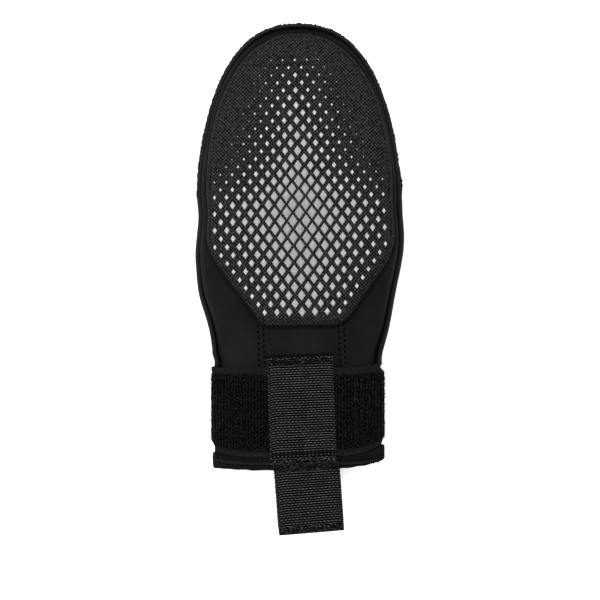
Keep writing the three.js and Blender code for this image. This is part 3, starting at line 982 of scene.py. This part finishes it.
# A patch of moulded nylon hook tape on the strap's free end grips the pile under it, on the palm
# side. Its hooks show as a fine stipple.
hook_tape, tree, shader = new_material(
    "Moulded nylon hook tape", Base_Color=tone("#101011"), Roughness=0.6
)
place = add_node(tree, "TexCoord")
hooks = add_node(tree, "TexVoronoi", {"Scale": 1 / (1.2 * mm)}, {"Vector": place.outputs["Object"]})
bump = add_node(tree, "Bump", {"Strength": 0.8, "Distance": 0.4 * mm}, {"Height": hooks})
tree.links.new(bump.outputs["Normal"], shader.inputs["Normal"])
hook_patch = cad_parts["hook_patch"]
hook_patch.data.materials.clear()
hook_patch.data.materials.append(hook_tape)


# The webbing is a 38 mm band of ribbed nylon, sewn on above the strap and to the hem, and left as
# a pull tail with a heat-sealed end. Each rib is a row of yarn dashes, set off by half a dash from
# the next.
rib_pitch = 1.42 * mm
rib_height = 0.4 * mm
rib_steps = 4
dashes = 17
dash_steps = 5
web_thickness = 1.45 * mm
web_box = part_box("pull_web")
web_length = web_box[1].y - web_box[0].y
ribs = round(web_length / rib_pitch)
web_tree = tree_of(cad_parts["pull_web"])
web_places = np.unique(np.round(points_of(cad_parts["pull_web"])[0][:, :2], 5), axis=0)


def web_edge(side):
    """The webbing's left or right edge in plan, from the tail's end up."""
    edge = []
    for x, y in web_places:
        away = (web_places[:, 0] - x) * side
        beside = (np.abs(web_places[:, 1] - y) < 1.6 * mm) & (away > 4 * mm) & (away < 8 * mm)
        if not beside.any():
            edge.append((y, x))
    return np.array(sorted(edge))[:, [1, 0]]


left_edge = web_edge(-1)
right_edge = web_edge(1)
edge_steps = np.linalg.norm(np.diff((left_edge + right_edge) / 2, axis=0), axis=1)
edge_shares = np.concatenate([[0], np.cumsum(edge_steps)]) / edge_steps.sum()


def web_plan(across, along):
    """A place in plan, at shares of the webbing's width and of its length from the tail's end."""
    left = np.array([np.interp(along, edge_shares, left_edge[:, i]) for i in (0, 1)])
    right = np.array([np.interp(along, edge_shares, right_edge[:, i]) for i in (0, 1)])
    return left * (1 - across) + right * across


bpy.ops.object.select_all(action="DESELECT")
bpy.ops.mesh.primitive_grid_add(
    x_subdivisions=dashes * dash_steps, y_subdivisions=ribs * rib_steps, size=1
)
web = bpy.context.object
web.name = "web"
web.data.name = "web"
flat, _ = points_of(web)
across_share = flat[:, 0] + 0.5
along_share = flat[:, 1] + 0.5
placed = np.empty((len(flat), 3))
wide = np.empty((len(flat), 2))
for i, (across, along) in enumerate(zip(across_share, along_share)):
    wide[i] = web_plan(across, along)
    placed[i] = on_top(web_tree, *web_plan(0.006 + 0.988 * across, 0.002 + 0.996 * along))
rib_wave = np.sin(along_share * ribs * math.pi)
dash_wave = np.cos(across_share * dashes * 2 * math.pi)
crown = rib_wave**2 * (0.6 + 0.12 * rib_wave + dash_wave * (0.14 + 0.14 * rib_wave))
from_top = (1 - along_share) * web_length

# The yarns are tangled at the sewn top edge, a little above the bar tacks, more below them, and
# most of all where the tail's end is sealed.
tangle = 0.5 * rise(-from_top, -4.6 * mm, 0.8 * mm)
tangle += 0.1 * rise(from_top, 37 * mm, 4 * mm) * (from_top < 53 * mm)
below_tacks = rise(from_top, 58.2 * mm, 0.8 * mm) * (from_top < 66.5 * mm)
tangle += below_tacks * (0.6 + 0.8 * rise(from_top, 61 * mm, 2 * mm))
tangle += rise(from_top, web_length - 5.4 * mm, 1.5 * mm)
crown = 0.5 + (crown - 0.5) * np.clip(1 - tangle, 0, 1)

# Its rows bow a little beside its edges, and its end is cut aslant.
at_ends = np.minimum(from_top, web_length - from_top) / (8 * mm)
edge_bend = 1.2 * mm * np.exp(-across_share * 38 / 1.6)
edge_bend += 0.5 * mm * np.exp(-(1 - across_share) * 38 / 1.6)
placed[:, 0] = wide[:, 0]
placed[:, 1] = wide[:, 1] - edge_bend * np.clip(at_ends, 0, 1)
placed[:, 1] -= 1.5 * mm * across_share * rise(from_top, web_length - 26 * mm, 26 * mm)
placed[:, 2] += (crown - 0.5) * rib_height
shade_points(web, "tangle", tangle)
set_places(web, placed)
select_only(web)
body = web.modifiers.new("body", "SOLIDIFY")
body.thickness = web_thickness
body.offset = -1
bpy.ops.object.modifier_apply(modifier=body.name)
bpy.ops.object.shade_smooth()

nylon_webbing, tree, shader = new_material(
    "Heavy ribbed nylon webbing", Roughness=0.6, Specular_IOR_Level=0.008
)
# The yarn's crowns are painted lighter, as a painted highlight, more on every second rib, and the
# gaps between the ribs are painted black, as painted shade. Where the webbing is sewn or sealed,
# its yarns are tangled.
strip = add_node(tree, "TexCoord")
turned = add_node(
    tree,
    "Mapping",
    {"Scale": (dashes * 2 * math.pi, ribs * math.pi, 1)},
    {"Vector": strip.outputs["UV"]},
)
tangled = add_node(tree, "Attribute", {"attribute_name": "tangle"})
stray = add_node(
    tree, "TexNoise", {"Scale": 1 / (1.5 * mm), "Detail": 2}, {"Vector": strip.outputs["Object"]}
)
stray_way = add_node(
    tree, "VectorMath", {"operation": "SUBTRACT", 1: (0.5, 0.5, 0.5)}, {0: stray.outputs["Color"]}
)
stray_reach = add_node(
    tree, "Math", {"operation": "MULTIPLY_ADD", 1: 11.0, 2: 0.5}, {0: tangled.outputs["Fac"]}
)
strayed = add_node(tree, "VectorMath", {"operation": "SCALE"}, {0: stray_way, "Scale": stray_reach})
laid = add_node(tree, "VectorMath", {"operation": "ADD"}, {0: turned, 1: strayed})
turn = add_node(tree, "SeparateXYZ", {}, {0: laid})
rib = add_node(tree, "Math", {"operation": "SINE"}, {0: turn.outputs["Y"]})
dash = add_node(tree, "Math", {"operation": "COSINE"}, {0: turn.outputs["X"]})
rib_size = add_node(tree, "Math", {"operation": "ABSOLUTE"}, {0: rib})
rib_line = add_node(tree, "Math", {"operation": "POWER", 1: 16.0}, {0: rib_size})
dash_size = add_node(tree, "Math", {"operation": "MULTIPLY_ADD", 1: 0.46, 2: 0.22}, {0: rib})
rib_light = add_node(tree, "Math", {"operation": "MULTIPLY_ADD", 1: 0.12, 2: 0.68}, {0: rib})
yarn_light = add_node(
    tree, "Math", {"operation": "MULTIPLY_ADD"}, {0: dash, 1: dash_size, 2: rib_light}
)
crowns = add_node(tree, "Math", {"operation": "MULTIPLY"}, {0: rib_line, 1: yarn_light})
wear = add_node(
    tree, "TexNoise", {"Scale": 1 / (5 * mm), "Detail": 3}, {"Vector": strip.outputs["Object"]}
)
worn = add_node(
    tree,
    "MapRange",
    {"From Min": 0.3, "From Max": 0.7, "To Min": 0.65, "To Max": 1.25},
    {"Value": wear},
)
dulled = add_node(
    tree, "Math", {"operation": "MULTIPLY_ADD", 1: -0.4, 2: 1.0}, {0: tangled.outputs["Fac"]}
)
shine = add_node(tree, "Math", {"operation": "MULTIPLY"}, {0: worn, 1: dulled})
lit = add_node(tree, "Math", {"operation": "MULTIPLY"}, {0: crowns, 1: shine})
ramp = add_node(tree, "ValToRGB", {}, {"Fac": lit}, [(0.0, "#010101"), (1.0, "#5e5e5e")])
bump = add_node(tree, "Bump", {"Strength": 0.5, "Distance": 0.2 * mm}, {"Height": lit})
tree.links.new(ramp.outputs["Color"], shader.inputs["Base Color"])
tree.links.new(bump.outputs["Normal"], shader.inputs["Normal"])
web.data.materials.append(nylon_webbing)
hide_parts("pull_web")
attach(web, "root")

# It is held by a zigzag along its top edge, and by a row of bar tacks at the hem.
sewn_rows = [
    ("web_zigzag", {"from_top": 1.3 * mm, "height": 3.4 * mm}, 34, 0.5, 0.45 * mm),
    ("web_tacks", {"from_top": 54.2 * mm, "height": 4.8 * mm}, 17, 0.0, 1.25 * mm),
]
sewn_web = tree_of(web)
for name, row, stitches, slant, thickness in sewn_rows:
    tack_ends = []
    top = 1 - row["from_top"] / web_length
    low = top - row["height"] / web_length
    for i in range(stitches):
        start = (i + 0.5 + (slant if i % 2 else 0)) / stitches
        end = (i + 0.5 + (0 if i % 2 else slant)) / stitches
        if max(start, end) < 1:
            a, b = (on_top(sewn_web, *web_plan(*p), 0.2 * mm) for p in ((start, top), (end, low)))
            if a is not None and b is not None:
                tack_ends.append((a, b))
    sew(name, tack_ends, thread_black, thickness)

# Its sewn top edge presses a furrow into the neoprene above it, painted in shade there.
places, normals = points_of(mitten_back)
top_left, top_right = web_plan(0, 1), web_plan(1, 1)
share = (places[:, 0] - top_left[0]) / (top_right[0] - top_left[0])
above_web = places[:, 1] - (top_left[1] + (top_right[1] - top_left[1]) * share)
pressed = ridge(above_web, 0.5 * mm, 0.8 * mm) * np.clip(1 - (np.abs(share - 0.5) - 0.5) * 12, 0, 1)
pressed *= normals[:, 2] > 0.3
move_points(mitten_back, -0.5 * mm * pressed)
shade = np.empty(len(places))
mitten_back.data.attributes["painted_shade"].data.foreach_get("value", shade)
shade_points(mitten_back, "painted_shade", np.maximum(shade, pressed * 0.9))
